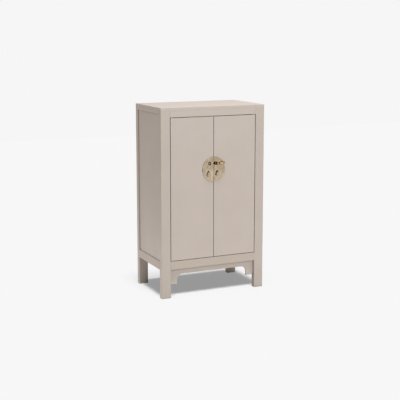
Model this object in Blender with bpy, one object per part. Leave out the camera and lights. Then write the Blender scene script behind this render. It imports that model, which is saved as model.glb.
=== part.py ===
"""Two-door lacquered cabinet on legs, with a split round lock plate.

A post-and-rail case: four legs joined by tenoned rails, floating side and back panels in
grooves, a top board on stub tenons, a floor board, two shelves on bearers and a shaped front
apron. Two inset doors turn on pivot pins and carry the brass lock plate, the lock staples with
their sliding pin, and two leaf-shaped drop pulls that swing in eyes.

Metres. X runs left to right, Y front to back, Z up. The origin is on the floor, in the middle
of the part's box.
"""

import math

import bmesh
import bpy
from mathutils import Matrix, Vector

# Case
CASE_W = 0.600
CASE_D = 0.357
CASE_H = 1.008
LEG_W = 0.051
LEG_D = 0.029
TOP_T = 0.016
BASE_CLEAR = 0.153  # floor to the underside of the bottom rails
BOTTOM_RAIL_H = 0.0445
FRONT_TOP_RAIL_H = 0.035
REAR_TOP_RAIL_H = 0.035
SIDE_TOP_RAIL_H = 0.018
FRAME_RAIL_T = 0.025  # front and rear rails, front to back
SIDE_RAIL_T = 0.022
ARRIS = 0.001  # rounding of the long edges

# Joinery
FIT = 0.0003  # clearance at every seat
TENON_L = 0.020  # front and rear rails, into the legs
TENON_T = 0.009
SIDE_TENON_L = 0.015
TENON_SHOULDER = 0.005
TENON_WALL = 0.002  # wood left between a tenon and a panel groove
TOP_TENON_W = 0.026
TOP_TENON_T = 0.012
TOP_TENON_H = 0.009

# Panels and boards
PANEL_T = 0.008
PANEL_RECESS = 0.006
PANEL_REVEAL = 0.001  # shadow line between a side panel and its frame
PANEL_GROOVE = 0.006
BACK_T = 0.006
BACK_RECESS = 0.010
BACK_GROOVE = 0.006
FLOOR_T = 0.014
SHELF_T = 0.015
SHELF_SETBACK = 0.045
SHELF_NAMES = ("lower", "upper")
BEARER_H = 0.022
BEARER_T = 0.014
BEARER_TENON_T = 0.006
BEARER_TENON_L = 0.010

# Apron under the front rail
APRON_T = 0.010
APRON_RECESS = 0.016
APRON_DEPTH = 0.031
APRON_HOUSING = 0.006
SPANDREL_W = 0.0425
SPANDREL_DROP = 0.083
ARCH_R = 0.032

# Doors
DOOR_T = 0.018
DOOR_GAP = 0.003  # round the outer edges
MEETING_GAP = 0.0025
PIVOT_INSET_X = 0.008  # pivot axis from the door's outer edge
PIVOT_INSET_Y = 0.006  # pivot axis from the door's front face
PIVOT_D = 0.005
PIVOT_DEPTH = 0.012
PIVOT_COLLAR_D = 0.010
SWING_CLEAR = 0.001
STOP_W = 0.120
STOP_D = 0.014
STOP_H = 0.012

# Lock plate, staples and pin
PLATE_D = 0.133
PLATE_T = 0.0025
PLATE_Z = 0.676
LEFT_STAPLE_X = 0.0277  # out from the meeting edge
RIGHT_STAPLE_X = 0.0108
STAPLE_W = 0.0055
STAPLE_T = 0.0034
STAPLE_LEG = 0.012  # into the door
PIN_RISE = 0.0315  # pin axis above the plate's centre
PIN_STANDOFF = 0.0108  # pin axis in front of the plate
PIN_D = 0.009
PIN_SLACK = 0.0005
PIN_TIP_X = 0.001
PIN_L = 0.0485  # shaft, from the tip to the knob
PIN_TIP_BEVEL = 0.0015
KNOB_D = 0.0208
KNOB_L = 0.0075

# Drop pulls
LEFT_PULL_X = 0.0315  # out from the meeting edge
RIGHT_PULL_X = 0.021
PULL_DROP = 0.0122  # pull axis below the plate's centre
PULL_STANDOFF = 0.0042
PULL_CROWN = 0.0018  # pull axis to the top of the leaf
PULL_L = 0.0285  # pull axis to the foot of the leaf
PULL_NECK_R = 0.0052
PULL_BOWL_R = 0.0108
PULL_FLATNESS = 0.3  # leaf's thickness against its width
PULL_BAR_H = 0.0032  # left above the hole, to hang in the eye
EYE_W = 0.0038
EYE_T = 0.0016
EYE_SLACK = 0.0006
EYE_LEG = 0.012

# Faceting
ROUND_SIDES = 20
ARC_STEPS = 10
PLATE_STEPS = 40
CUT = 0.002  # how far a cutter runs past the face it opens

# Places worked out from the sizes
STAPLE_R_IN = PIN_D / 2 + PIN_SLACK
STAPLE_R_OUT = STAPLE_R_IN + STAPLE_T
EYE_R_IN = PULL_CROWN + EYE_SLACK
EYE_R_OUT = EYE_R_IN + EYE_T
HARDWARE_REACH = FIT + PLATE_T + PIN_STANDOFF + max(STAPLE_R_OUT, KNOB_D / 2)
FRONT_Y = -(CASE_D - HARDWARE_REACH) / 2
REAR_Y = FRONT_Y + CASE_D
PLATE_FRONT_Y = FRONT_Y - FIT - PLATE_T
HALF_W = CASE_W / 2
HALF_OPEN = HALF_W - LEG_W
OPEN_LOW = BASE_CLEAR + BOTTOM_RAIL_H
TOP_UNDERSIDE = CASE_H - TOP_T
FRAME_TOP = TOP_UNDERSIDE - FIT
FRONT_OPEN_HIGH = TOP_UNDERSIDE - FRONT_TOP_RAIL_H
REAR_OPEN_HIGH = TOP_UNDERSIDE - REAR_TOP_RAIL_H
SIDE_OPEN_HIGH = TOP_UNDERSIDE - SIDE_TOP_RAIL_H
PANEL_OUTER = HALF_W - PANEL_RECESS
PANEL_INNER = PANEL_OUTER - PANEL_T
BACK_FRONT_Y = REAR_Y - BACK_RECESS - BACK_T
FLOOR_LOW = OPEN_LOW + FIT
FLOOR_HIGH = FLOOR_LOW + FLOOR_T
PIVOT_X = HALF_OPEN - DOOR_GAP - PIVOT_INSET_X
PIVOT_Y = FRONT_Y + PIVOT_INSET_Y
DOOR_LOW = OPEN_LOW + DOOR_GAP
DOOR_HIGH = FRONT_OPEN_HIGH - DOOR_GAP
DOOR_SWING_BACK = math.hypot(PIVOT_INSET_X, DOOR_T - PIVOT_INSET_Y)
FLOOR_FRONT_Y = PIVOT_Y + DOOR_SWING_BACK + SWING_CLEAR
PIN_Y = PLATE_FRONT_Y - PIN_STANDOFF
PIN_Z = PLATE_Z + PIN_RISE
PULL_Y = PLATE_FRONT_Y - PULL_STANDOFF
PULL_Z = PLATE_Z - PULL_DROP

SIDES = {"left": -1, "right": 1}
STAPLE_X = {"left": -LEFT_STAPLE_X, "right": RIGHT_STAPLE_X}
PULL_X = {"left": -LEFT_PULL_X, "right": RIGHT_PULL_X}
ENDS = ("front", "rear")


# Spans, mirrored for the left and right side and for the front and rear end

def across(side, near, far):
    """X span between two distances from the middle, on one side."""
    return (near, far) if side > 0 else (-far, -near)


def along(end, near, far):
    """Y span between two depths, measured in from the front or the rear face."""
    if end == "front":
        return FRONT_Y + near, FRONT_Y + far
    return REAR_Y - far, REAR_Y - near


def frame_tenon_y(end, slack=0.0):
    middle = FRAME_RAIL_T / 2
    half = TENON_T / 2 + slack
    return along(end, middle - half, middle + half)


def side_tenon_x(side, slack=0.0):
    middle = HALF_W - SIDE_RAIL_T / 2
    half = TENON_T / 2 + slack
    return across(side, middle - half, middle + half)


def bearer_tenon_x(side, slack=0.0):
    middle = PANEL_INNER - FIT - BEARER_T / 2
    half = BEARER_TENON_T / 2 + slack
    return across(side, middle - half, middle + half)


def panel_groove_x(side):
    return across(side, PANEL_INNER - FIT, PANEL_OUTER + PANEL_REVEAL)


def grow(span, by):
    return span[0] - by, span[1] + by


# Heights of the tenons, kept clear of the grooves that hold the panels

def tenon_z(low, high, groove_below=0.0, groove_above=0.0):
    def inset(groove):
        return groove + TENON_WALL if groove else TENON_SHOULDER
    return low + inset(groove_below), high - inset(groove_above)


FRONT_TENONS_Z = (
    tenon_z(BASE_CLEAR, OPEN_LOW),
    tenon_z(FRONT_OPEN_HIGH, FRAME_TOP),
)
REAR_TENONS_Z = (
    tenon_z(BASE_CLEAR, OPEN_LOW, groove_above=BACK_GROOVE),
    tenon_z(REAR_OPEN_HIGH, FRAME_TOP, groove_below=BACK_GROOVE),
)
SIDE_TENONS_Z = (
    tenon_z(BASE_CLEAR, OPEN_LOW, groove_above=PANEL_GROOVE),
    tenon_z(SIDE_OPEN_HIGH, FRAME_TOP, groove_below=PANEL_GROOVE),
)


def shelf_levels():
    """Underside of each shelf, with equal clear heights between floor, shelves and top."""
    count = len(SHELF_NAMES)
    clear = (TOP_UNDERSIDE - FLOOR_HIGH - count * SHELF_T) / (count + 1)
    return [FLOOR_HIGH + clear + i * (clear + SHELF_T) for i in range(count)]


def bearer_z(shelf_low):
    return shelf_low - FIT - BEARER_H, shelf_low - FIT


# Materials

def srgb(code):
    """Linear colour of an sRGB hex code."""
    values = [int(code[i:i + 2], 16) / 255 for i in (1, 3, 5)]
    return [v / 12.92 if v <= 0.04045 else ((v + 0.055) / 1.055) ** 2.4 for v in values]


def material(name, code, roughness, metallic):
    made = bpy.data.materials.new(name)
    made.use_nodes = True
    shader = made.node_tree.nodes["Principled BSDF"]
    shader.inputs["Base Color"].default_value = (*srgb(code), 1.0)
    shader.inputs["Roughness"].default_value = roughness
    shader.inputs["Metallic"].default_value = metallic
    return made


# Shapes, each a function that adds one closed form to a bmesh

def block(x, y, z, eased="", square=None):
    """A box between three spans, with the edges along the named axes rounded.

    Edges that lie at the height named as square, where two pieces meet flush, stay sharp.
    """
    def add(bm):
        low, high = Vector((x[0], y[0], z[0])), Vector((x[1], y[1], z[1]))
        stretch = Matrix.Diagonal((*(high - low), 1.0))
        place = Matrix.Translation((low + high) / 2) @ stretch
        made = bmesh.ops.create_cube(bm, size=1.0, matrix=place)["verts"]
        edges = {e for v in made for e in v.link_edges if edge_axis(e) in eased}
        edges -= {e for e in edges if square is not None and lies_at(e, square)}
        if edges:
            bmesh.ops.bevel(
                bm, geom=list(edges), offset=ARRIS, segments=2, profile=0.5, affect="EDGES"
            )
    return add


def edge_axis(edge):
    run = edge.verts[1].co - edge.verts[0].co
    return "XYZ"[max(range(3), key=lambda i: abs(run[i]))]


def lies_at(edge, height):
    return all(abs(v.co.z - height) < CUT / 10 for v in edge.verts)


def rod(start, end, radius):
    """A round bar between two points."""
    def add(bm):
        run = Vector(end) - Vector(start)
        turn = run.to_track_quat("Z", "Y").to_matrix().to_4x4()
        place = Matrix.Translation((Vector(start) + Vector(end)) / 2) @ turn
        bmesh.ops.create_cone(
            bm, cap_ends=True, segments=ROUND_SIDES, radius1=radius, radius2=radius,
            depth=run.length, matrix=place,
        )
    return add


def prism(outline, axis, span):
    """A flat outline extruded along an axis. The outline's two values follow X, Y, Z order."""
    def add(bm):
        slot = "XYZ".index(axis)
        points = [list(p[:slot]) + [span[0]] + list(p[slot:]) for p in outline]
        face = bm.faces.new([bm.verts.new(p) for p in points])
        made = bmesh.ops.extrude_face_region(bm, geom=[face])["geom"]
        run = [0.0, 0.0, 0.0]
        run[slot] = span[1] - span[0]
        top = [v for v in made if isinstance(v, bmesh.types.BMVert)]
        bmesh.ops.translate(bm, verts=top, vec=run)
        bmesh.ops.recalc_face_normals(bm, faces=bm.faces[:])
    return add


def turned(profile, start, direction):
    """A turned form: (distance along the axis, radius) points that begin and end on the axis."""
    def add(bm):
        verts = [bm.verts.new((r, 0.0, d)) for d, r in profile]
        edges = [bm.edges.new(pair) for pair in zip(verts, verts[1:])]
        bmesh.ops.spin(
            bm, geom=verts + edges, cent=(0, 0, 0), axis=(0, 0, 1), angle=2 * math.pi,
            steps=ROUND_SIDES, use_merge=True,
        )
        bmesh.ops.remove_doubles(bm, verts=bm.verts[:], dist=1e-6)
        bmesh.ops.recalc_face_normals(bm, faces=bm.faces[:])
        turn = Vector(direction).to_track_quat("Z", "Y").to_matrix().to_4x4()
        bmesh.ops.transform(bm, matrix=Matrix.Translation(start) @ turn, verts=bm.verts[:])
    return add


def flattened(shape, middle_y, by):
    """A form drawn in towards a plane across its depth."""
    def add(bm):
        shape(bm)
        for vert in bm.verts:
            vert.co.y = middle_y + (vert.co.y - middle_y) * by
    return add


def arc(centre, radius, from_deg, to_deg, steps):
    """Points along an arc, both ends included."""
    turn = math.radians(to_deg - from_deg)
    first = math.radians(from_deg)
    angles = [first + turn * i / steps for i in range(steps + 1)]
    return [(centre[0] + radius * math.cos(a), centre[1] + radius * math.sin(a)) for a in angles]


# Objects

def link(obj, parent):
    bpy.context.scene.collection.objects.link(obj)
    obj.parent = parent
    return obj


def axis_empty(name, point, parent=None, parent_point=(0, 0, 0)):
    """An empty that marks a joint's axis and carries what moves about it."""
    empty = bpy.data.objects.new(name, None)
    empty.empty_display_size = 0.02
    empty.location = Vector(point) - Vector(parent_point)
    return link(empty, parent)


def mesh_object(name, shapes, parent, origin):
    bm = bmesh.new()
    for add in shapes:
        add(bm)
    bmesh.ops.translate(bm, verts=bm.verts[:], vec=-Vector(origin))
    mesh = bpy.data.meshes.new(name)
    bm.to_mesh(mesh)
    bm.free()
    return link(bpy.data.objects.new(name, mesh), parent)


def piece(name, finish, shape, joined=(), removed=(), parent=None, origin=(0, 0, 0), smooth=False):
    """One named part: a shape, with others joined to it and others cut out of it."""
    obj = mesh_object(name, [shape], parent, origin)
    obj.data.materials.append(finish)
    if smooth:
        obj.data.shade_smooth()
        obj.data.set_sharp_from_angle(angle=math.radians(35))
    for word, operation, shapes in (("join", "UNION", joined), ("cut", "DIFFERENCE", removed)):
        if shapes:
            helper = mesh_object(f"{name}_{word}", shapes, obj, origin)
            helper.hide_render = True
            helper.display_type = "WIRE"
            modifier = obj.modifiers.new(word, "BOOLEAN")
            modifier.operation = operation
            modifier.object = helper
    return obj


# Case

def legs(lacquer, case):
    """Four legs, mortised for the rails and bearers, grooved for the panels."""
    for side_name, side in SIDES.items():
        for end in ENDS:
            x = across(side, HALF_OPEN, HALF_W)
            y = along(end, 0.0, LEG_D)
            removed = frame_rail_mortises(side, end)
            removed += side_rail_mortises(side, end)
            removed.append(side_panel_leg_groove(side, end))
            removed.append(apron_housing(side) if end == "front" else back_panel_leg_groove(side))
            piece(
                f"{end}_leg_{side_name}", lacquer,
                block(x, y, (0.0, FRAME_TOP), eased="XYZ", square=FRAME_TOP),
                joined=[top_tenon(side, end)], removed=removed, parent=case,
            )


def top_tenon(side, end, slack=0.0):
    middle_x = HALF_OPEN + LEG_W / 2
    half_x, half_y = TOP_TENON_W / 2 + slack, TOP_TENON_T / 2 + slack
    return block(
        across(side, middle_x - half_x, middle_x + half_x),
        along(end, LEG_D / 2 - half_y, LEG_D / 2 + half_y),
        (FRAME_TOP - CUT, FRAME_TOP + TOP_TENON_H + slack),
    )


def frame_rail_mortises(side, end):
    x = across(side, HALF_OPEN - CUT, HALF_OPEN + TENON_L + FIT)
    levels = FRONT_TENONS_Z if end == "front" else REAR_TENONS_Z
    return [block(x, frame_tenon_y(end, FIT), grow(z, FIT)) for z in levels]


def side_rail_mortises(side, end):
    y = along(end, LEG_D - SIDE_TENON_L - FIT, LEG_D + CUT)
    made = [block(side_tenon_x(side, FIT), y, grow(z, FIT)) for z in SIDE_TENONS_Z]
    y = along(end, LEG_D - BEARER_TENON_L - FIT, LEG_D + CUT)
    for low in shelf_levels():
        z = tenon_z(*bearer_z(low))
        made.append(block(bearer_tenon_x(side, FIT), y, grow(z, FIT)))
    return made


def side_panel_leg_groove(side, end):
    y = along(end, LEG_D - PANEL_GROOVE - FIT, LEG_D + CUT)
    return block(panel_groove_x(side), y, grow((OPEN_LOW, SIDE_OPEN_HIGH), PANEL_GROOVE + FIT))


def back_panel_leg_groove(side):
    return block(
        across(side, HALF_OPEN - CUT, HALF_OPEN + BACK_GROOVE + FIT),
        along("rear", BACK_RECESS - FIT, BACK_RECESS + BACK_T + FIT),
        grow((OPEN_LOW, REAR_OPEN_HIGH), BACK_GROOVE + FIT),
    )


def apron_housing(side):
    return block(
        across(side, HALF_OPEN - CUT, HALF_OPEN + APRON_HOUSING + FIT),
        along("front", APRON_RECESS - FIT, APRON_RECESS + APRON_T + FIT),
        (BASE_CLEAR - SPANDREL_DROP - FIT, BASE_CLEAR),
    )


def frame_rails(lacquer, case):
    """Front and rear rails, tenoned into the legs."""
    x = (-HALF_OPEN + FIT, HALF_OPEN - FIT)
    tenon_x = (-HALF_OPEN - TENON_L, HALF_OPEN + TENON_L)
    spans = {
        "front_bottom": ("front", (BASE_CLEAR, OPEN_LOW), FRONT_TENONS_Z[0]),
        "front_top": ("front", (FRONT_OPEN_HIGH, FRAME_TOP), FRONT_TENONS_Z[1]),
        "rear_bottom": ("rear", (BASE_CLEAR, OPEN_LOW), REAR_TENONS_Z[0]),
        "rear_top": ("rear", (REAR_OPEN_HIGH, FRAME_TOP), REAR_TENONS_Z[1]),
    }
    removed = {
        "front_bottom": [pivot_socket(side, "lower") for side in SIDES.values()],
        "front_top": [pivot_socket(side, "upper") for side in SIDES.values()],
        "rear_bottom": [back_panel_rail_groove((OPEN_LOW - BACK_GROOVE - FIT, OPEN_LOW + CUT))],
        "rear_top": [
            back_panel_rail_groove((REAR_OPEN_HIGH - CUT, REAR_OPEN_HIGH + BACK_GROOVE + FIT))
        ],
    }
    for name, (end, z, tenon) in spans.items():
        piece(
            f"{name}_rail", lacquer,
            block(x, along(end, 0.0, FRAME_RAIL_T), z, eased="X", square=FRAME_TOP),
            joined=[block(tenon_x, frame_tenon_y(end), tenon)], removed=removed[name], parent=case,
        )


def back_panel_rail_groove(z):
    y = along("rear", BACK_RECESS - FIT, BACK_RECESS + BACK_T + FIT)
    return block((-HALF_OPEN, HALF_OPEN), y, z)


def side_rails(lacquer, case):
    """Upper and lower side rails, tenoned into the legs and grooved for the side panels."""
    y = (FRONT_Y + LEG_D + FIT, REAR_Y - LEG_D - FIT)
    tenon_y = (FRONT_Y + LEG_D - SIDE_TENON_L, REAR_Y - LEG_D + SIDE_TENON_L)
    levels = {
        "bottom": (
            (BASE_CLEAR, OPEN_LOW), SIDE_TENONS_Z[0],
            (OPEN_LOW - PANEL_GROOVE - FIT, OPEN_LOW + CUT),
        ),
        "top": (
            (SIDE_OPEN_HIGH, FRAME_TOP), SIDE_TENONS_Z[1],
            (SIDE_OPEN_HIGH - CUT, SIDE_OPEN_HIGH + PANEL_GROOVE + FIT),
        ),
    }
    for side_name, side in SIDES.items():
        x = across(side, HALF_W - SIDE_RAIL_T, HALF_W)
        for level, (z, tenon, groove) in levels.items():
            piece(
                f"side_{level}_rail_{side_name}", lacquer,
                block(x, y, z, eased="Y", square=FRAME_TOP),
                joined=[block(side_tenon_x(side), tenon_y, tenon)],
                removed=[block(panel_groove_x(side), grow(y, CUT), groove)], parent=case,
            )


def panels(lacquer, case):
    """Side panels and back panel, floating in their grooves."""
    y = grow((FRONT_Y + LEG_D, REAR_Y - LEG_D), PANEL_GROOVE)
    z = grow((OPEN_LOW, SIDE_OPEN_HIGH), PANEL_GROOVE)
    for side_name, side in SIDES.items():
        x = across(side, PANEL_INNER, PANEL_OUTER)
        piece(f"side_panel_{side_name}", lacquer, block(x, y, z), parent=case)
    piece(
        "back_panel", lacquer,
        block(
            grow((-HALF_OPEN, HALF_OPEN), BACK_GROOVE),
            along("rear", BACK_RECESS, BACK_RECESS + BACK_T),
            grow((OPEN_LOW, REAR_OPEN_HIGH), BACK_GROOVE),
        ),
        parent=case,
    )


def boards(lacquer, case):
    """Top board on the legs' stub tenons, floor board, shelves and their bearers."""
    top = block(
        (-HALF_W, HALF_W), (FRONT_Y, REAR_Y), (TOP_UNDERSIDE, CASE_H), eased="XYZ",
        square=TOP_UNDERSIDE,
    )
    mortises = [top_tenon(side, end, FIT) for side in SIDES.values() for end in ENDS]
    piece("top_board", lacquer, top, removed=mortises, parent=case)

    x = (-PANEL_INNER + FIT, PANEL_INNER - FIT)
    back = BACK_FRONT_Y - FIT
    z = (FLOOR_LOW, FLOOR_HIGH)
    piece(
        "floor_board", lacquer, block(x, (FLOOR_FRONT_Y, back), z),
        removed=[leg_notch(side, end, z) for side in SIDES.values() for end in ENDS], parent=case,
    )
    for name, low in zip(SHELF_NAMES, shelf_levels()):
        z = (low, low + SHELF_T)
        piece(
            f"shelf_{name}", lacquer, block(x, (FRONT_Y + SHELF_SETBACK, back), z, eased="X"),
            removed=[leg_notch(side, "rear", z) for side in SIDES.values()], parent=case,
        )
        for side_name, side in SIDES.items():
            bearer(f"shelf_bearer_{name}_{side_name}", side, low, lacquer, case)


def leg_notch(side, end, z):
    return block(
        across(side, HALF_OPEN - FIT, HALF_W), along(end, 0.0, LEG_D + FIT), grow(z, CUT)
    )


def bearer(name, side, shelf_low, lacquer, case):
    z = bearer_z(shelf_low)
    x = across(side, PANEL_INNER - FIT - BEARER_T, PANEL_INNER - FIT)
    y = (FRONT_Y + LEG_D + FIT, REAR_Y - LEG_D - FIT)
    tenon_y = (FRONT_Y + LEG_D - BEARER_TENON_L, REAR_Y - LEG_D + BEARER_TENON_L)
    tenon = block(bearer_tenon_x(side), tenon_y, tenon_z(*z))
    piece(name, lacquer, block(x, y, z), joined=[tenon], parent=case)


def apron(lacquer, case):
    """Front apron: a shallow board with a spandrel at each end, housed in the front legs."""
    end = HALF_OPEN + APRON_HOUSING
    inner = HALF_OPEN - SPANDREL_W
    top = BASE_CLEAR - FIT
    flat = BASE_CLEAR - APRON_DEPTH
    foot = BASE_CLEAR - SPANDREL_DROP
    right = arc((inner - ARCH_R, flat - ARCH_R), ARCH_R, 90, 0, ARC_STEPS)
    left = [(-x, z) for x, z in reversed(right)]
    outline = [(-end, top), (-end, foot), (-inner, foot), *left, *right]
    outline += [(inner, foot), (end, foot), (end, top)]
    span = along("front", APRON_RECESS, APRON_RECESS + APRON_T)
    piece("front_apron", lacquer, prism(outline, "Y", span), parent=case)


# Doors

def pivot_span(level, clear=0.0):
    """Height span of a pivot pin, grown at both ends by a clearance."""
    if level == "lower":
        return OPEN_LOW - PIVOT_DEPTH - clear, DOOR_LOW + PIVOT_DEPTH + clear
    return DOOR_HIGH - PIVOT_DEPTH - clear, FRONT_OPEN_HIGH + PIVOT_DEPTH + clear


def pivot_socket(side, level):
    low, high = pivot_span(level, FIT)
    x = side * PIVOT_X
    return rod((x, PIVOT_Y, low), (x, PIVOT_Y, high), PIVOT_D / 2 + FIT)


def pivot_pins(brass, case):
    """Pins in the rails that the doors turn on, with a collar in the gap to carry the door."""
    for side_name, side in SIDES.items():
        for level in ("lower", "upper"):
            low, high = pivot_span(level)
            gap_low = OPEN_LOW if level == "lower" else DOOR_HIGH
            collar = (gap_low + FIT - low, gap_low + DOOR_GAP - FIT - low)
            radius, wide = PIVOT_D / 2, PIVOT_COLLAR_D / 2
            profile = [
                (0.0, 0.0), (0.0, radius), (collar[0], radius), (collar[0], wide),
                (collar[1], wide), (collar[1], radius), (high - low, radius), (high - low, 0.0),
            ]
            start = (side * PIVOT_X, PIVOT_Y, low)
            piece(
                f"pivot_pin_{level}_{side_name}", brass, turned(profile, start, (0, 0, 1)),
                parent=case, smooth=True,
            )


def door_stop(lacquer, case):
    y = (FRONT_Y + DOOR_T + FIT, FRONT_Y + DOOR_T + FIT + STOP_D)
    z = (FRONT_OPEN_HIGH - FIT - STOP_H, FRONT_OPEN_HIGH - FIT)
    piece("door_stop", lacquer, block((-STOP_W / 2, STOP_W / 2), y, z), parent=case)


def loop_leg_slots(x, z, width, r_in, r_out, depth):
    """Two slots, through the plate and into the door, for the legs of a strap loop."""
    span_x = grow((x - width / 2, x + width / 2), FIT)
    span_y = (PLATE_FRONT_Y - CUT, FRONT_Y + depth + FIT)
    return [
        block(span_x, span_y, grow((z + r_in, z + r_out), FIT)),
        block(span_x, span_y, grow((z - r_out, z - r_in), FIT)),
    ]


def door_slots(side_name):
    staple = loop_leg_slots(
        STAPLE_X[side_name], PIN_Z, STAPLE_W, STAPLE_R_IN, STAPLE_R_OUT, STAPLE_LEG
    )
    eye = loop_leg_slots(PULL_X[side_name], PULL_Z, EYE_W, EYE_R_IN, EYE_R_OUT, EYE_LEG)
    return staple + eye


def door(side_name, side, lacquer, axis, pivot):
    x = across(side, MEETING_GAP / 2, HALF_OPEN - DOOR_GAP)
    slab = block(x, (FRONT_Y, FRONT_Y + DOOR_T), (DOOR_LOW, DOOR_HIGH), eased="XYZ")
    bores = [pivot_socket(side, level) for level in ("lower", "upper")]
    piece(
        f"door_{side_name}", lacquer, slab, removed=bores + door_slots(side_name),
        parent=axis, origin=pivot,
    )


# Lock and pulls

def lock_plate(side_name, side, brass, axis, pivot):
    """Half of the round plate, cut off at the door's meeting edge."""
    radius = PLATE_D / 2
    edge = MEETING_GAP / 2
    reach = math.degrees(math.acos(edge / radius))
    half = arc((0.0, PLATE_Z), radius, -reach, reach, PLATE_STEPS)
    outline = [(side * x, z) for x, z in half]
    span = (PLATE_FRONT_Y, PLATE_FRONT_Y + PLATE_T)
    piece(
        f"lock_plate_{side_name}", brass, prism(outline, "Y", span),
        removed=door_slots(side_name), parent=axis, origin=pivot,
    )


def strap_loop(name, x, z, width, r_in, r_out, standoff, leg, brass, axis, pivot):
    """A strap bent into a loop, its two legs let into the door through the plate."""
    bend = (PLATE_FRONT_Y - standoff, z)
    foot = FRONT_Y + leg
    outer = arc(bend, r_out, 90, 270, ARC_STEPS)
    inner = arc(bend, r_in, 270, 90, ARC_STEPS)
    outline = [(foot, z + r_out), *outer, (foot, z - r_out), (foot, z - r_in), *inner]
    outline.append((foot, z + r_in))
    shape = prism(outline, "X", (x - width / 2, x + width / 2))
    piece(name, brass, shape, parent=axis, origin=pivot)


def lock_pin(brass, axis, origin):
    """The sliding pin: a bevelled tip, a plain shaft and a turned knob."""
    radius, knob = PIN_D / 2, KNOB_D / 2
    ball = [
        (PIN_L + KNOB_L / 2 - KNOB_L / 2 * math.cos(a), max(radius, knob * math.sin(a)))
        for a in [math.pi * i / ARC_STEPS for i in range(ARC_STEPS)]
    ]
    profile = [(0.0, 0.0), (0.0, radius - PIN_TIP_BEVEL), (PIN_TIP_BEVEL, radius), *ball]
    profile += [(PIN_L + KNOB_L, radius), (PIN_L + KNOB_L, 0.0)]
    piece(
        "lock_pin", brass, turned(profile, origin, (1, 0, 0)), parent=axis, origin=origin,
        smooth=True,
    )


def leaf_profile():
    """Half outline of a drop pull: (distance below its crown, half width)."""
    bowl_at = PULL_CROWN + PULL_L - PULL_BOWL_R
    lean = math.asin((PULL_BOWL_R - PULL_NECK_R) / (bowl_at - PULL_NECK_R))
    meet = 90 + math.degrees(lean)  # where the straight flank leaves the neck and joins the bowl
    neck = arc((PULL_NECK_R, 0.0), PULL_NECK_R, 180, meet, ARC_STEPS)
    return neck + arc((bowl_at, 0.0), PULL_BOWL_R, meet, 0, ARC_STEPS)


def drop_pull(side_name, brass, axis, point):
    """A leaf-shaped drop, pierced near its top so that a bar is left to hang in the eye."""
    crown = Vector(point) + Vector((0.0, 0.0, PULL_CROWN))
    leaf = flattened(turned(leaf_profile(), crown, (0, 0, -1)), PULL_Y, PULL_FLATNESS)
    hole_half = EYE_W / 2 + EYE_SLACK
    hole = block(
        (point[0] - hole_half, point[0] + hole_half), grow((PULL_Y, PULL_Y), PULL_STANDOFF),
        (PULL_Z - EYE_R_OUT - EYE_SLACK, PULL_Z + PULL_CROWN - PULL_BAR_H),
    )
    piece(
        f"drop_pull_{side_name}", brass, leaf, removed=[hole], parent=axis, origin=point,
        smooth=True,
    )


def door_set(side_name, side, lacquer, brass):
    """One door on its axis, with its half of the lock plate, its staple and its pull."""
    pivot = (side * PIVOT_X, PIVOT_Y, 0.0)
    axis = axis_empty(f"door_{side_name}_axis", pivot)
    door(side_name, side, lacquer, axis, pivot)
    lock_plate(side_name, side, brass, axis, pivot)
    strap_loop(
        f"lock_staple_{side_name}", STAPLE_X[side_name], PIN_Z, STAPLE_W, STAPLE_R_IN,
        STAPLE_R_OUT, PIN_STANDOFF, STAPLE_LEG, brass, axis, pivot,
    )
    strap_loop(
        f"pull_eye_{side_name}", PULL_X[side_name], PULL_Z, EYE_W, EYE_R_IN, EYE_R_OUT,
        PULL_STANDOFF, EYE_LEG, brass, axis, pivot,
    )
    eye = (PULL_X[side_name], PULL_Y, PULL_Z)
    drop_pull(side_name, brass, axis_empty(f"drop_pull_{side_name}_axis", eye, axis, pivot), eye)
    if side_name == "right":
        tip = (PIN_TIP_X, PIN_Y, PIN_Z)
        lock_pin(brass, axis_empty("lock_pin_axis", tip, axis, pivot), tip)


def main():
    for obj in list(bpy.data.objects):
        bpy.data.objects.remove(obj)
    lacquer = material("satin_lacquer", "#C8BCB2", 0.38, 0.0)
    brass = material("brushed_brass", "#BFAF8C", 0.32, 1.0)
    case = axis_empty("case", (0, 0, 0))
    legs(lacquer, case)
    frame_rails(lacquer, case)
    side_rails(lacquer, case)
    panels(lacquer, case)
    boards(lacquer, case)
    apron(lacquer, case)
    door_stop(lacquer, case)
    pivot_pins(brass, case)
    for side_name, side in SIDES.items():
        door_set(side_name, side, lacquer, brass)


main()
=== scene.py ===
import math

import bmesh
import bpy
from mathutils import Matrix, Vector


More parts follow.
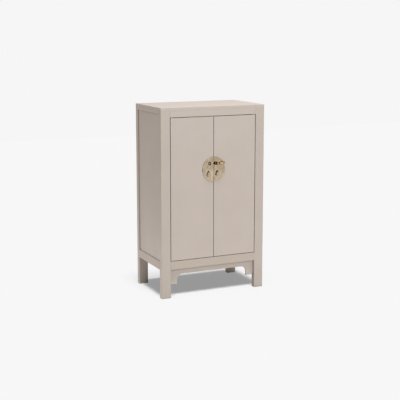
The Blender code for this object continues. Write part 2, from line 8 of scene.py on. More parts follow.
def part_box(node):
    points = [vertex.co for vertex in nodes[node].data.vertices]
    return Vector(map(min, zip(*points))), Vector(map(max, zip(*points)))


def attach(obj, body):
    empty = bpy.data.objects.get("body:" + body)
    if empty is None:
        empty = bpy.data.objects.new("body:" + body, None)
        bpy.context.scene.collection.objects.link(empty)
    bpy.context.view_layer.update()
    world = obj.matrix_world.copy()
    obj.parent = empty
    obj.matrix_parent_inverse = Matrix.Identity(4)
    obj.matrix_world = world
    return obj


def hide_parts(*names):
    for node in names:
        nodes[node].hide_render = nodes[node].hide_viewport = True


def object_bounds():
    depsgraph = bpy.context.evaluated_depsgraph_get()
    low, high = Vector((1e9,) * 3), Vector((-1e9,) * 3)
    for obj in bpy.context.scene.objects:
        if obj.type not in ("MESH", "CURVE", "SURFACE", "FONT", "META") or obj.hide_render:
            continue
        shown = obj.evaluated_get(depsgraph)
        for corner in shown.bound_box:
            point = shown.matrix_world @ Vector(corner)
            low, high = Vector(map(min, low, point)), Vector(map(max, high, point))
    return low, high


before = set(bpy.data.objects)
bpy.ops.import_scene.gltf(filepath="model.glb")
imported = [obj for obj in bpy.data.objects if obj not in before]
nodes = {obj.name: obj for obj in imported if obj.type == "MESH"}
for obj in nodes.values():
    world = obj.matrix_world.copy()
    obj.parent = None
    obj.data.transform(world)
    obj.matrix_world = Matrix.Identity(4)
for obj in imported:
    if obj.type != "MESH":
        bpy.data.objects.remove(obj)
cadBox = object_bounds()
scene = bpy.context.scene
print("frame loaded,", len(nodes), "nodes")


# shared helpers

def toLinear(code):  # sRGB hex to linear RGBA
    values = [int(code[i:i + 2], 16) / 255 for i in (1, 3, 5)]
    return [v / 12.92 if v <= 0.04045 else ((v + 0.055) / 1.055) ** 2.4 for v in values] + [1.0]


def addNode(tree, kind, values=None, links=None, **settings):
    made = tree.nodes.new(kind)
    for key, value in settings.items():
        setattr(made, key, value)
    for socket, value in (values or {}).items():
        made.inputs[socket].default_value = value
    for socket, source in (links or {}).items():
        tree.links.new(source, made.inputs[socket])
    return made


def perMetre(millimetres):  # texture scale for a feature of this size
    return 1000.0 / millimetres


def startMaterial(name):
    made = bpy.data.materials.new(name)
    made.use_nodes = True
    made.node_tree.nodes.clear()
    return made, made.node_tree


# lacquered wood: several thin sprayed coats, rubbed to a satin. It gives the eye an even warm
# grey-beige with a soft sheen, the wood's lines just telling through, and joints dark with dust and
# painted shade.

lacquerSet = {
    "coat": ("#CCBFB5", "#C8BBB0"),
    "legShadedCoat": ("#C9BCB1", "#C5B8AC"),  # a darker copy of the coat: painted shade on the legs
    "lowShadedCoat": ("#C6B8AC", "#C2B5A8"),  # a darker, warmer copy of the coat: painted shade on the bottom rails
    "rubbed": "#D6CBC0",  # thin coat along the arrises
    "rubbedRadius": 0.0018,
    "rubbedSpan": (0.995, 0.80),  # cosine between the rounded normal and the flat one
    "rubbedMost": 0.22,
    "joint": "#80664F",  # dust and painted shade down in the joints, without any sheen
    "jointReach": 0.010,
    "jointSpan": (0.60, 0.40),
    "jointMost": 0.9,
    "cloudMm": 140,
    "cloudSpan": (0.3, 0.7),
    "lineMm": 2.4,  # wood lines under the coat, drawn coarse enough to show
    "lineLengthMm": 220,
    "lineShare": 0.6,  # of the lines in the tone, beside the clouds
    "lineBump": (0.25, 0.00005),
    "toneSpan": (0.55, 1.05),
    "peelMm": 1.6,  # orange peel of the spray
    "peelBump": (0.15, 0.00003),
    "roughness": (0.38, 0.44),
    "gloss": 0.5,
    "index": 1.5,
    "shade": "#261B12",  # painted shade low on the inner faces of the legs, under the case
    "shadeReach": 0.25,
    "shadeSpan": (0.485, 0.40),
    "shadeHigh": (0.00, 0.15),  # none of it up inside the cabinet
    "shadeAcross": (-0.002, 0.048),  # metres in from the case's left face, where it is open
    "shadeOpen": 0.2,  # what is left of the shade there
    "darkenFrom": 0.17,  # the legs darken from here down to the floor
    "darkenLow": 0.10,
}


def sprayedLacquer(name, along, coat, shaded=0.0):
    made, tree = startMaterial(name)
    s = lacquerSet
    place = addNode(tree, "ShaderNodeTexCoord").outputs["Object"]
    across, length = perMetre(s["lineMm"]), perMetre(s["lineLengthMm"])
    stretch = [length if axis == along else across for axis in "XYZ"]
    cloud = addNode(
        tree, "ShaderNodeTexNoise",
        {"Scale": perMetre(s["cloudMm"]), "Detail": 3.0, "Roughness": 0.5}, {"Vector": place})
    run = addNode(tree, "ShaderNodeMapping", {"Scale": stretch}, {"Vector": place})
    lines = addNode(
        tree, "ShaderNodeTexNoise", {"Scale": 1.0, "Detail": 3.0, "Roughness": 0.6},
        {"Vector": run.outputs["Vector"]})
    peel = addNode(
        tree, "ShaderNodeTexNoise", {"Scale": perMetre(s["peelMm"]), "Detail": 1.0}, {"Vector": place})
    tone = addNode(
        tree, "ShaderNodeMath", {1: s["lineShare"]},
        {0: lines.outputs["Fac"], 2: cloud.outputs["Fac"]}, operation="MULTIPLY_ADD")
    depth = addNode(
        tree, "ShaderNodeMapRange", {"From Min": s["toneSpan"][0], "From Max": s["toneSpan"][1]},
        {"Value": tone.outputs[0]})
    body = addNode(
        tree, "ShaderNodeMix", {6: toLinear(coat[0]), 7: toLinear(coat[1])},
        {"Factor": depth.outputs[0]}, data_type="RGBA")
    # the coat is thinner where an edge has been rubbed
    rounded = addNode(tree, "ShaderNodeBevel", {"Radius": s["rubbedRadius"]}, samples=4)
    flat = addNode(tree, "ShaderNodeNewGeometry")
    facing = addNode(
        tree, "ShaderNodeVectorMath", None,
        {0: rounded.outputs["Normal"], 1: flat.outputs["Normal"]}, operation="DOT_PRODUCT")
    edge = addNode(
        tree, "ShaderNodeMapRange",
        {"From Min": s["rubbedSpan"][0], "From Max": s["rubbedSpan"][1], "To Max": s["rubbedMost"]},
        {"Value": facing.outputs["Value"]})
    thin = addNode(
        tree, "ShaderNodeMix", {7: toLinear(s["rubbed"])},
        {"Factor": edge.outputs[0], 6: body.outputs[2]}, data_type="RGBA")
    # dust and painted shade: the colour goes towards the joint colour where the occlusion finds a gap
    hidden = addNode(tree, "ShaderNodeAmbientOcclusion", {"Distance": s["jointReach"]}, samples=8)
    gap = addNode(
        tree, "ShaderNodeMapRange",
        {"From Min": s["jointSpan"][0], "From Max": s["jointSpan"][1], "To Max": s["jointMost"]},
        {"Value": hidden.outputs["AO"]})
    colour = addNode(
        tree, "ShaderNodeMix", {7: toLinear(s["joint"])},
        {"Factor": gap.outputs[0], 6: thin.outputs[2]}, data_type="RGBA")
    # painted shade for the legs: where the wide occlusion finds them shut in under the case, towards the
    # inside and the floor, the colour goes towards the shade colour
    if shaded:
        shut = addNode(tree, "ShaderNodeAmbientOcclusion", {"Distance": s["shadeReach"]}, samples=8)
        deep = addNode(
            tree, "ShaderNodeMapRange",
            {"From Min": s["shadeSpan"][0], "From Max": s["shadeSpan"][1], "To Max": shaded},
            {"Value": shut.outputs["AO"]})
        spot = addNode(tree, "ShaderNodeSeparateXYZ", None, {0: place})
        under = addNode(
            tree, "ShaderNodeMapRange", {"From Min": s["shadeHigh"][1], "From Max": s["shadeHigh"][0]},
            {"Value": spot.outputs["Z"]})
        openFrom, openTo = [cadBox[0].x + reach for reach in s["shadeAcross"]]
        inward = addNode(
            tree, "ShaderNodeMapRange",
            {"From Min": openFrom, "From Max": openTo, "To Min": s["shadeOpen"]},
            {"Value": spot.outputs["X"]})
        masked = addNode(
            tree, "ShaderNodeMath", None, {0: inward.outputs[0], 1: under.outputs[0]},
            operation="MULTIPLY")
        low = addNode(
            tree, "ShaderNodeMath", None, {0: deep.outputs[0], 1: masked.outputs[0]},
            operation="MULTIPLY")
        # the legs darken towards the floor as well
        darkenLow = addNode(
            tree, "ShaderNodeMapRange", {"From Min": s["darkenFrom"], "From Max": 0.0, "To Max": s["darkenLow"]},
            {"Value": spot.outputs["Z"]})
        shadeAndLowDarkening = addNode(
            tree, "ShaderNodeMath", None, {0: low.outputs[0], 1: darkenLow.outputs[0]}, operation="MAXIMUM")
        colour = addNode(
            tree, "ShaderNodeMix", {7: toLinear(s["shade"])},
            {"Factor": shadeAndLowDarkening.outputs[0], 6: colour.outputs[2]}, data_type="RGBA")
    rough = addNode(
        tree, "ShaderNodeMapRange",
        {"From Min": s["cloudSpan"][0], "From Max": s["cloudSpan"][1],
         "To Min": s["roughness"][0], "To Max": s["roughness"][1]},
        {"Value": cloud.outputs["Fac"]})
    lineRelief = addNode(
        tree, "ShaderNodeBump", {"Strength": s["lineBump"][0], "Distance": s["lineBump"][1]},
        {"Height": lines.outputs["Fac"]})
    relief = addNode(
        tree, "ShaderNodeBump", {"Strength": s["peelBump"][0], "Distance": s["peelBump"][1]},
        {"Height": peel.outputs["Fac"], "Normal": lineRelief.outputs["Normal"]})
    sheen = addNode(
        tree, "ShaderNodeMapRange", {"To Min": s["gloss"], "To Max": 0.0}, {"Value": gap.outputs[0]})
    shader = addNode(
        tree, "ShaderNodeBsdfPrincipled", {"IOR": s["index"]},
        {"Base Color": colour.outputs[2], "Roughness": rough.outputs[0],
         "Specular IOR Level": sheen.outputs[0], "Normal": relief.outputs["Normal"]})
    addNode(tree, "ShaderNodeOutputMaterial", None, {"Surface": shader.outputs[0]})
    return made


lacquers = {
    axis: sprayedLacquer(f"sprayedSatinLacquer{word}", axis, lacquerSet["coat"])
    for axis, word in (("X", "Crosswise"), ("Y", "FrontToBack"), ("Z", "Upright"))
}
# the bottom rails' lacquer, with a darker, warmer coat as painted shade
lowShadedLacquers = {
    axis: sprayedLacquer(f"sprayedSatinLacquerLowShaded{word}", axis, lacquerSet["lowShadedCoat"])
    for axis, word in (("X", "Crosswise"), ("Y", "FrontToBack"))
}
# the legs' lacquer: a darker coat, and painted shade under the case
legShadedLacquer = sprayedLacquer("sprayedSatinLacquerLegsShaded", "Z", lacquerSet["legShadedCoat"], shaded=1.0)


# yellow brass, brushed as sheet, bent as strap, cast as leaves and turned as rod, then left to tone
# down: pale and soft on the flats, brown patina and painted shade in the hollows, paler low on the plate

brassSet = {
    "brown": "#422E15",
    "patchMm": 22,
    "toneSlope": 0.10,  # how far the low end of the span given tones less, and the high end more
    "toneLean": 0.9,  # up and to the right it tones more
    "brushMm": 0.9,  # drawn coarse enough to show
    "brushLengthMm": 30,
    "brushShare": 0.35,  # of the brush lines in the wear, beside the patches
    "brushBump": (0.25, 0.00003),
    "wearSpan": (0.5, 0.85),
    "hollowReach": 0.005,
    "hollowSpan": (0.75, 0.3),
}


def tonedBrass(name, clean, toned, roughness, brown, along="X", edge="#FFFFFF", span=None):
    made, tree = startMaterial(name)
    s = brassSet
    place = addNode(tree, "ShaderNodeTexCoord").outputs["Object"]
    across, length = perMetre(s["brushMm"]), perMetre(s["brushLengthMm"])
    stretch = [length if axis == along else across for axis in "XYZ"]
    patches = addNode(
        tree, "ShaderNodeTexNoise",
        {"Scale": perMetre(s["patchMm"]), "Detail": 5.0, "Roughness": 0.6}, {"Vector": place})
    run = addNode(tree, "ShaderNodeMapping", {"Scale": stretch}, {"Vector": place})
    brush = addNode(
        tree, "ShaderNodeTexNoise", {"Scale": 1.0, "Detail": 2.0}, {"Vector": run.outputs["Vector"]})
    wear = addNode(
        tree, "ShaderNodeMath", {1: s["brushShare"]},
        {0: brush.outputs["Fac"], 2: patches.outputs["Fac"]}, operation="MULTIPLY_ADD")
    # the plate tones less towards the low end of the span and more up and to the right
    if span:
        spot = addNode(tree, "ShaderNodeSeparateXYZ", None, {0: place})
        lean = addNode(
            tree, "ShaderNodeMath", {1: s["toneLean"]},
            {0: spot.outputs["X"], 2: spot.outputs["Z"]}, operation="MULTIPLY_ADD")
        toneSlope = addNode(
            tree, "ShaderNodeMapRange",
            {"From Min": span[0], "From Max": span[1], "To Min": -s["toneSlope"], "To Max": s["toneSlope"]},
            {"Value": lean.outputs[0]})
        wear = addNode(
            tree, "ShaderNodeMath", None, {0: wear.outputs[0], 1: toneSlope.outputs[0]}, operation="ADD")
    amount = addNode(
        tree, "ShaderNodeMapRange", {"From Min": s["wearSpan"][0], "From Max": s["wearSpan"][1]},
        {"Value": wear.outputs[0]})
    body = addNode(
        tree, "ShaderNodeMix", {6: toLinear(clean), 7: toLinear(toned)},
        {"Factor": amount.outputs[0]}, data_type="RGBA")
    # brown patina and painted contact shade gather where two pieces meet
    hollow = addNode(tree, "ShaderNodeAmbientOcclusion", {"Distance": s["hollowReach"]}, samples=6)
    patinaAndShade = addNode(
        tree, "ShaderNodeMapRange",
        {"From Min": s["hollowSpan"][0], "From Max": s["hollowSpan"][1], "To Max": brown},
        {"Value": hollow.outputs["AO"]})
    colour = addNode(
        tree, "ShaderNodeMix", {7: toLinear(s["brown"])},
        {"Factor": patinaAndShade.outputs[0], 6: body.outputs[2]}, data_type="RGBA")
    rough = addNode(
        tree, "ShaderNodeMapRange",
        {"From Min": s["wearSpan"][0], "From Max": s["wearSpan"][1],
         "To Min": roughness[0], "To Max": roughness[1]},
        {"Value": wear.outputs[0]})
    relief = addNode(
        tree, "ShaderNodeBump", {"Strength": s["brushBump"][0], "Distance": s["brushBump"][1]},
        {"Height": brush.outputs["Fac"]})
    shader = addNode(
        tree, "ShaderNodeBsdfPrincipled", {"Metallic": 1.0, "Specular Tint": toLinear(edge)},
        {"Base Color": colour.outputs[2], "Roughness": rough.outputs[0],
         "Normal": relief.outputs["Normal"]})
    addNode(tree, "ShaderNodeOutputMaterial", None, {"Surface": shader.outputs[0]})
    return made


plateLow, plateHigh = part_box("lock_plate_left")
plateBrass = tonedBrass(
    "brushedBrassSheet", "#D0BEA6", "#B3A187", (0.16, 0.26), brown=0.8, span=(plateLow.z, plateHigh.z))
strapBrass = tonedBrass(
    "brownedBrassStrap", "#66400D", "#432605", (0.30, 0.42), brown=0.8, edge="#523610")
leafBrass = tonedBrass("castBrassLeaf", "#CDBDA2", "#AF9E84", (0.16, 0.26), brown=0.85, along="Z")
wireBrass = tonedBrass("drawnBrassRod", "#B5A27C", "#93805C", (0.14, 0.24), brown=0.45, along="Z")
pinBrass = tonedBrass("turnedBrassRod", "#F0D6AE", "#D8BA8C", (0.15, 0.25), brown=0.15)
# darker brass for the pin's tip
tipBrass = tonedBrass("brownedBrassTip", "#9A7038", "#7A541E", (0.30, 0.42), brown=0.5)
print("materials made")


# wood pieces of the frame take the lacquer with its lines along their length

lengthAxis = {
    "X": ["front_top_rail", "front_bottom_rail", "rear_top_rail", "rear_bottom_rail", "top_board",
          "floor_board", "shelf_lower", "shelf_upper", "front_apron", "door_stop"],
    "Y": ["side_top_rail_left", "side_top_rail_right", "side_bottom_rail_left",
          "side_bottom_rail_right", "shelf_bearer_lower_left", "shelf_bearer_lower_right",
          "shelf_bearer_upper_left", "shelf_bearer_upper_right"],
    "Z": ["front_leg_left", "front_leg_right", "rear_leg_left", "rear_leg_right", "side_panel_left",
          "side_panel_right", "back_panel", "door_left", "door_right"],
}


def dress(node, material):
    data = nodes[node].data
    data.materials.clear()
    data.materials.append(material)


for axis, names in lengthAxis.items():
    for name in names:
        if "_leg_" in name:
            dress(name, legShadedLacquer)
        else:
            dress(name, (lowShadedLacquers if "_bottom_rail" in name else lacquers)[axis])
for name in nodes:
    if name.startswith("pivot_pin"):
        dress(name, wireBrass)
print("frame dressed")


# hardware pieces

def finishPiece(name, bm, material, body, node, smoothAngle=35):
    mesh = bpy.data.meshes.new(name)
    bmesh.ops.recalc_face_normals(bm, faces=bm.faces[:])
    bm.to_mesh(mesh)
    bm.free()
    mesh.materials.append(material)
    mesh.shade_smooth()
    mesh.set_sharp_from_angle(angle=math.radians(smoothAngle))
    made = bpy.data.objects.new(name, mesh)
    scene.collection.objects.link(made)
    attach(made, body)
    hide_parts(node)
    return made


def spinProfile(bm, profile, steps):  # (along, radius) points about Z, closed on the axis
    verts = [bm.verts.new((radius, 0.0, along)) for along, radius in profile]
    edges = [bm.edges.new(pair) for pair in zip(verts, verts[1:])]
    bmesh.ops.spin(
        bm, geom=verts + edges, cent=(0, 0, 0), axis=(0, 0, 1), angle=2 * math.pi, steps=steps,
        use_merge=True)
    bmesh.ops.remove_doubles(bm, verts=bm.verts[:], dist=1e-7)


def arcPoints(centre, radius, fromDeg, toDeg, steps):
    angles = [math.radians(fromDeg + (toDeg - fromDeg) * i / steps) for i in range(steps + 1)]
    return [(centre[0] + radius * math.cos(a), centre[1] + radius * math.sin(a)) for a in angles]


# round plate, split at the doors' meeting edge: sheet dished down at the rim, with a scribed line

plateSet = {
    "rollWide": 0.007, "rollDeep": 0.0019, "rollSteps": 10,
    "lineIn": 0.0098, "lineWide": 0.0009, "lineDeep": 0.00025, "steps": 144}


def platePiece(side):
    s = plateSet
    low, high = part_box(f"lock_plate_{side}")
    radius = (high.z - low.z) / 2
    thick = high.y - low.y
    half = s["lineWide"] / 2
    profile = [(0.0, 0.0), (0.0, radius)]
    for i in range(s["rollSteps"] + 1):
        turn = math.radians(90 * i / s["rollSteps"])
        profile.append((
            thick - s["rollDeep"] * (1 - math.sin(turn)), radius - s["rollWide"] * (1 - math.cos(turn))))
    line = radius - s["lineIn"]
    profile += [(thick, line + half), (thick - s["lineDeep"], line), (thick, line - half), (thick, 0.0)]
    bm = bmesh.new()
    spinProfile(bm, profile, s["steps"])
    faceFront = Matrix.Rotation(math.radians(90), 4, "X")
    seat = Matrix.Translation((0.0, high.y, (low.z + high.z) / 2)) @ faceFront
    bmesh.ops.transform(bm, matrix=seat, verts=bm.verts[:])
    keep = 1 if side == "right" else -1
    edge = low.x if side == "right" else high.x
    bmesh.ops.bisect_plane(
        bm, geom=bm.verts[:] + bm.edges[:] + bm.faces[:], plane_co=(edge, 0, 0),
        plane_no=(keep, 0, 0), clear_inner=True)
    bmesh.ops.holes_fill(bm, edges=[e for e in bm.edges if e.is_boundary], sides=0)
    return finishPiece(
        f"lockPlate{side.title()}", bm, plateBrass, f"{side}_door", f"lock_plate_{side}")


# staples and pull eyes: strap bent to a loop, legs through the plate into the door

strapSet = {
    "stapleThick": 0.0034, "eyeThick": 0.0016, "ease": 0.0007, "easeSteps": 3, "sharpDeg": 52,
    "steps": 20}


def strapPiece(name, node, body, thick):
    low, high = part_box(node)
    middle = (low.z + high.z) / 2
    outer = (high.z - low.z) / 2
    bend = (low.y + outer, middle)
    inner = outer - thick
    back = high.y
    outline = [(back, middle + outer)] + arcPoints(bend, outer, 90, 270, strapSet["steps"])
    outline += [(back, middle - outer), (back, middle - inner)]
    outline += arcPoints(bend, inner, 270, 90, strapSet["steps"]) + [(back, middle + inner)]
    bm = bmesh.new()
    face = bm.faces.new([bm.verts.new((low.x, y, z)) for y, z in outline])
    swept = bmesh.ops.extrude_face_region(bm, geom=[face])["geom"]
    bmesh.ops.translate(
        bm, verts=[v for v in swept if isinstance(v, bmesh.types.BMVert)],
        vec=(high.x - low.x, 0, 0))
    least = math.radians(strapSet["sharpDeg"])
    sharp = [e for e in bm.edges if len(e.link_faces) == 2 and e.calc_face_angle() > least]
    bmesh.ops.bevel(
        bm, geom=sharp, offset=strapSet["ease"], segments=strapSet["easeSteps"], profile=0.5,
        affect="EDGES", clamp_overlap=True)
    return finishPiece(name, bm, strapBrass, body, node)


# drop pulls: cast leaves, pierced near the top so that a bar is left to hang in the eye

pullSet = {
    "neck": 0.0052, "bowl": 0.0108, "flatness": 0.3, "bar": 0.0032, "hole": (0.0050, 0.0032),
    "neckSteps": 16, "bowlSteps": 40, "steps": 64, "smoothAngle": 40}


def cutAway(bm, cutter):  # takes the cutter's volume out of the first mesh
    made = []
    for name, source in (("cutBody", bm), ("cutTool", cutter)):
        mesh = bpy.data.meshes.new(name)
        source.to_mesh(mesh)
        made.append(bpy.data.objects.new(name, mesh))
        scene.collection.objects.link(made[-1])
    cut = made[0].modifiers.new("cut", "BOOLEAN")
    cut.operation, cut.object = "DIFFERENCE", made[1]
    result = bpy.data.meshes.new_from_object(
        made[0].evaluated_get(bpy.context.evaluated_depsgraph_get()))
    bm.clear()
    bm.from_mesh(result)
    cutter.free()
    for mesh in [result] + [obj.data for obj in made]:
        bpy.data.meshes.remove(mesh)


def pullPiece(side):
    s = pullSet
    low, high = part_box(f"drop_pull_{side}")
    middle = (low + high) / 2
    bowlAt = high.z - low.z - s["bowl"]
    lean = math.degrees(math.asin((s["bowl"] - s["neck"]) / (bowlAt - s["neck"])))
    profile = arcPoints((s["neck"], 0.0), s["neck"], 180, 90 + lean, s["neckSteps"])
    profile += arcPoints((bowlAt, 0.0), s["bowl"], 90 + lean, 0, s["bowlSteps"])
    bm = bmesh.new()
    spinProfile(bm, profile, s["steps"])
    hang = Matrix.Diagonal((1.0, s["flatness"], -1.0, 1.0))
    seat = Matrix.Translation((middle.x, middle.y, high.z)) @ hang
    bmesh.ops.transform(bm, matrix=seat, verts=bm.verts[:])
    bmesh.ops.recalc_face_normals(bm, faces=bm.faces[:])
    wide, tall = s["hole"]
    hole = bmesh.new()
    place = Matrix.Translation((middle.x, middle.y, high.z - s["bar"] - tall / 2))
    bmesh.ops.create_cube(hole, size=1.0, matrix=place @ Matrix.Diagonal((wide, s["bowl"], tall, 1.0)))
    cutAway(bm, hole)
    return finishPiece(
        f"dropPull{side.title()}", bm, leafBrass, f"{side}_pull", f"drop_pull_{side}", s["smoothAngle"])


# lock pin: turned rod with a rounded browned tip, a browned groove and a button knob

pinSet = {
    "shaft": 0.0045, "tip": 0.0020, "tipSteps": 6, "brownTo": 0.0095,
    "groove": (0.0185, 0.0288), "grooveDeep": 0.0010, "grooveSlope": 0.0008,
    "knob": 0.0104, "knobLength": 0.0075, "knobSteps": 24,
    "knobFrom": 5,  # the step at which it leaves the shaft
    "steps": 48}


def pinPiece():
    s = pinSet
    low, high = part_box("lock_pin")
    knobAt = high.x - low.x - s["knobLength"]
    profile = [(0.0, 0.0), (0.0, s["shaft"] - s["tip"])]
    profile += arcPoints((s["tip"], s["shaft"] - s["tip"]), s["tip"], 180, 90, s["tipSteps"])[1:]
    near, far = s["groove"]
    neck = s["shaft"] - s["grooveDeep"]
    profile += [(s["brownTo"], s["shaft"]), (near, s["shaft"])]
    profile += [(near + s["grooveSlope"], neck), (far - s["grooveSlope"], neck)]
    profile += [(far, s["shaft"]), (knobAt, s["shaft"])]
    for i in range(s["knobFrom"], s["knobSteps"]):
        turn = math.pi * i / s["knobSteps"]
        profile.append((knobAt + s["knobLength"] / 2 * (1 - math.cos(turn)), s["knob"] * math.sin(turn)))
    profile.append((knobAt + s["knobLength"], 0.0))
    bm = bmesh.new()
    spinProfile(bm, profile, s["steps"])
    for face in bm.faces:
        along = face.calc_center_median().z
        if near < along < far:
            face.material_index = 1
        elif along < s["brownTo"]:
            face.material_index = 2
    seat = Matrix.Translation((low.x, (low.y + high.y) / 2, (low.z + high.z) / 2))
    layAcross = Matrix.Rotation(math.radians(90), 4, "Y")
    bmesh.ops.transform(bm, matrix=seat @ layAcross, verts=bm.verts[:])
    made = finishPiece("lockPin", bm, pinBrass, "lock_pin", "lock_pin")
    for browned in (strapBrass, tipBrass):
        made.data.materials.append(browned)
    return made


hardware = [pinPiece()]
for side in ("left", "right"):
    hardware += [platePiece(side), pullPiece(side)]
    for word, node, thick in (
            ("lockStaple", "lock_staple", strapSet["stapleThick"]),
            ("pullEye", "pull_eye", strapSet["eyeThick"])):
        hardware.append(strapPiece(f"{word}{side.title()}", f"{node}_{side}", f"{side}_door", thick))
print("hardware made")


# floor, room and lights

roomSet = {
    "pale": "#F6F6F6",
    "floorSize": 14.0,
    "floorDiffuse": (0.06, 0.007),  # near and far
    "floorGlow": (0.30, 0.86),  # what camera and metal see of the pale floor in shade, near and far
    "floorPool": (0.9, 2.6),  # metres over which the lit floor stops lighting the case
    "floorDim": (-1.4, 0.3),  # metres across over which metal sees it brighten
    "ambient": 0.56,
    "ambientLean": (-0.18, -0.04, 0.06),  # more room light from the left than from the right
    "glossDim": "#645544",  # the room's dim side, up and to the left, as metal and lacquer mirror it
    "glossWay": (0.62, -0.45, -0.30),  # towards its bright side
    "glossSpan": (-0.35, 0.45),
    "softboxTone": "#F6FAFF",  # a daylight tube, a touch cool
    "aimHigh": 0.75,  # share of the height that the lamps point at
}

# tilt is degrees from straight overhead, turn is degrees from the front round to the left, and a
# sun's size is its spread in degrees
lampSet = {
    "overheadSoftbox": dict(kind="AREA", energy=174.0, tilt=12.0, turn=-14.0, away=4.5, size=1.4),
    "frontFill": dict(kind="AREA", energy=50.0, tilt=68.0, turn=-12.0, away=4.2, size=1.8),
    "sideFill": dict(kind="AREA", energy=17.0, tilt=84.0, turn=96.0, away=3.6, size=2.2),
    "floorSun": dict(kind="SUN", energy=21.76, tilt=13.6, turn=27.0, away=5.0, size=12.0),
    "floorHaze": dict(kind="SUN", energy=10.24, tilt=13.6, turn=4.0, away=5.0, size=14.0),
}


def addLamp(name, kind, energy, tilt, turn, away, size):
    t, a = math.radians(tilt), math.radians(turn)
    way = Vector((-math.sin(t) * math.sin(a), -math.sin(t) * math.cos(a), math.cos(t)))
    lamp = bpy.data.lights.new(name, kind)
    lamp.energy = energy
    if kind == "SUN":
        lamp.angle = math.radians(size)
    else:
        lamp.shape, lamp.size = "SQUARE", size
    made = bpy.data.objects.new(name, lamp)
    made.location = Vector((0, cadBox[0].y, cadBox[1].z * roomSet["aimHigh"])) + way * away
    made.rotation_euler = way.to_track_quat("Z", "Y").to_euler()
    scene.collection.objects.link(made)
    return made


def makeFloor():
    s = roomSet
    bm = bmesh.new()
    bmesh.ops.create_grid(bm, x_segments=1, y_segments=1, size=s["floorSize"] / 2)
    mesh = bpy.data.meshes.new("studioFloor")
    bm.to_mesh(mesh)
    bm.free()
    made = bpy.data.objects.new("studioFloor", mesh)
    scene.collection.objects.link(made)
    paint, tree = startMaterial("paintedStudioFloor")
    place = addNode(tree, "ShaderNodeTexCoord").outputs["Object"]
    away = addNode(tree, "ShaderNodeVectorMath", None, {0: place}, operation="LENGTH")
    pool = addNode(
        tree, "ShaderNodeMapRange",
        {"From Min": s["floorPool"][0], "From Max": s["floorPool"][1]},
        {"Value": away.outputs["Value"]}, interpolation_type="SMOOTHSTEP")
    shade = addNode(
        tree, "ShaderNodeMapRange", {"To Min": s["floorDiffuse"][0], "To Max": s["floorDiffuse"][1]},
        {"Value": pool.outputs[0]})
    matte = addNode(tree, "ShaderNodeBsdfDiffuse", None, {"Color": shade.outputs[0]})
    ray = addNode(tree, "ShaderNodeLightPath")
    across = addNode(tree, "ShaderNodeSeparateXYZ", None, {0: place})
    dim = addNode(
        tree, "ShaderNodeMapRange",
        {"From Min": s["floorDim"][0], "From Max": s["floorDim"][1],
         "To Min": 1.0, "To Max": 0.0},
        {"Value": across.outputs["X"]})
    dimmed = addNode(
        tree, "ShaderNodeMath", None, {0: ray.outputs["Is Glossy Ray"], 1: dim.outputs[0]},
        operation="MULTIPLY")
    tint = addNode(
        tree, "ShaderNodeMix", {6: (1, 1, 1, 1), 7: toLinear(s["glossDim"])},
        {"Factor": dimmed.outputs[0]}, data_type="RGBA")
    direct = addNode(
        tree, "ShaderNodeMath", None,
        {0: ray.outputs["Is Camera Ray"], 1: ray.outputs["Is Glossy Ray"]}, operation="MAXIMUM")
    shown = addNode(
        tree, "ShaderNodeMath", None, {0: direct.outputs[0], 1: ray.outputs["Is Transmission Ray"]},
        operation="MAXIMUM")
    fill = addNode(
        tree, "ShaderNodeMapRange",
        {"To Min": s["floorGlow"][0], "To Max": s["floorGlow"][1]},
        {"Value": pool.outputs[0]})
    level = addNode(
        tree, "ShaderNodeMath", None, {0: shown.outputs[0], 1: fill.outputs[0]},
        operation="MULTIPLY")
    glow = addNode(
        tree, "ShaderNodeEmission", None, {"Color": tint.outputs[2], "Strength": level.outputs[0]})
    both = addNode(tree, "ShaderNodeAddShader", None, {0: matte.outputs[0], 1: glow.outputs[0]})
    addNode(tree, "ShaderNodeOutputMaterial", None, {"Surface": both.outputs[0]})
    mesh.materials.append(paint)
    return made


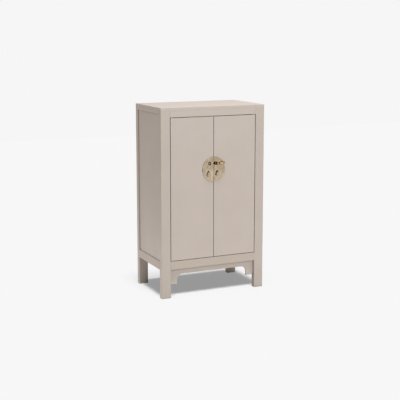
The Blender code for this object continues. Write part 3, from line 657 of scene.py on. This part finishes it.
def makeRoom():
    s = roomSet
    world = bpy.data.worlds.new("studioRoom")
    scene.world = world
    world.use_nodes = True
    tree = world.node_tree
    tree.nodes.clear()
    way = addNode(tree, "ShaderNodeTexCoord").outputs["Generated"]
    lean = addNode(
        tree, "ShaderNodeVectorMath", {1: s["ambientLean"]}, {0: way}, operation="DOT_PRODUCT")
    level = addNode(
        tree, "ShaderNodeMath", {1: s["ambient"]}, {0: lean.outputs["Value"]}, operation="ADD")
    air = addNode(
        tree, "ShaderNodeBackground", {"Color": (1, 1, 1, 1)}, {"Strength": level.outputs[0]})
    side = addNode(
        tree, "ShaderNodeVectorMath", {1: s["glossWay"]}, {0: way}, operation="DOT_PRODUCT")
    dim = addNode(
        tree, "ShaderNodeMapRange",
        {"From Min": s["glossSpan"][0], "From Max": s["glossSpan"][1]},
        {"Value": side.outputs["Value"]})
    tint = addNode(
        tree, "ShaderNodeMix", {6: toLinear(s["glossDim"]), 7: toLinear(s["pale"])},
        {"Factor": dim.outputs[0]}, data_type="RGBA")
    mirrored = addNode(
        tree, "ShaderNodeBackground", {"Strength": 1.0}, {"Color": tint.outputs[2]})
    seen = addNode(tree, "ShaderNodeBackground", {"Color": toLinear(s["pale"]), "Strength": 1.0})
    ray = addNode(tree, "ShaderNodeLightPath")
    shown = addNode(
        tree, "ShaderNodeMath", None,
        {0: ray.outputs["Is Camera Ray"], 1: ray.outputs["Is Transmission Ray"]},
        operation="MAXIMUM")
    lit = addNode(
        tree, "ShaderNodeMixShader", None,
        {0: ray.outputs["Is Glossy Ray"], 1: air.outputs[0], 2: mirrored.outputs[0]})
    mixed = addNode(
        tree, "ShaderNodeMixShader", None, {0: shown.outputs[0], 1: lit.outputs[0], 2: seen.outputs[0]})
    addNode(tree, "ShaderNodeOutputWorld", None, {"Surface": mixed.outputs[0]})


floor = makeFloor()
makeRoom()
lamps = {name: addLamp(name, **values) for name, values in lampSet.items()}
lamps["overheadSoftbox"].data.color = toLinear(roomSet["softboxTone"])[:3]

# the room's light washes out the tall shadow, so two suns light the floor alone: the underside and a
# leg hold off each, and the shelves hold off the haze too, for a soft tail behind
underside = ["side_bottom_rail_right", "rear_bottom_rail", "floor_board"]
shadeSet = {
    "floorSun": underside + ["side_bottom_rail_left", "front_leg_left"],
    "floorHaze": underside + ["front_leg_right", "shelf_lower", "shelf_upper"],
}


def lampGroup(name, members):
    made = bpy.data.collections.new(name)
    for member in members:
        made.objects.link(member)
    return made


floorOnly = lampGroup("floorOnly", [floor])
lampsSpare = lampGroup("lampsSpare", [floor] + hardware)  # brass shows the room, not the lamps
for entry in lampsSpare.collection_objects:
    entry.light_linking.link_state = "EXCLUDE"
for name, lamp in lamps.items():
    linking = lamp.light_linking
    if name in shadeSet:
        linking.receiver_collection = floorOnly
        linking.blocker_collection = lampGroup(f"{name}Shades", [nodes[n] for n in shadeSet[name]])
    else:
        linking.receiver_collection = lampsSpare
print("room lit")


# camera at the photograph's viewpoint, measured from the case's front left foot

cameraSet = {
    "fromFoot": (-1.7437, -4.2502, 1.3898), "yaw": 0.4329, "pitch": 0.1669, "sensor": 36.0,
    "lens": 81.176, "shiftY": -0.04}


def makeCamera():
    c = cameraSet
    data = bpy.data.cameras.new("photoCamera")
    data.sensor_width = c["sensor"]
    data.lens = c["lens"]
    data.shift_y = c["shiftY"]
    made = bpy.data.objects.new("photoCamera", data)
    made.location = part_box("front_leg_left")[0] + Vector(c["fromFoot"])
    look = Vector((
        math.sin(c["yaw"]) * math.cos(c["pitch"]), math.cos(c["yaw"]) * math.cos(c["pitch"]),
        -math.sin(c["pitch"])))
    made.rotation_euler = look.to_track_quat("-Z", "Y").to_euler()
    scene.collection.objects.link(made)
    scene.camera = made


makeCamera()
scene.view_settings.view_transform = "Standard"
print("camera set")
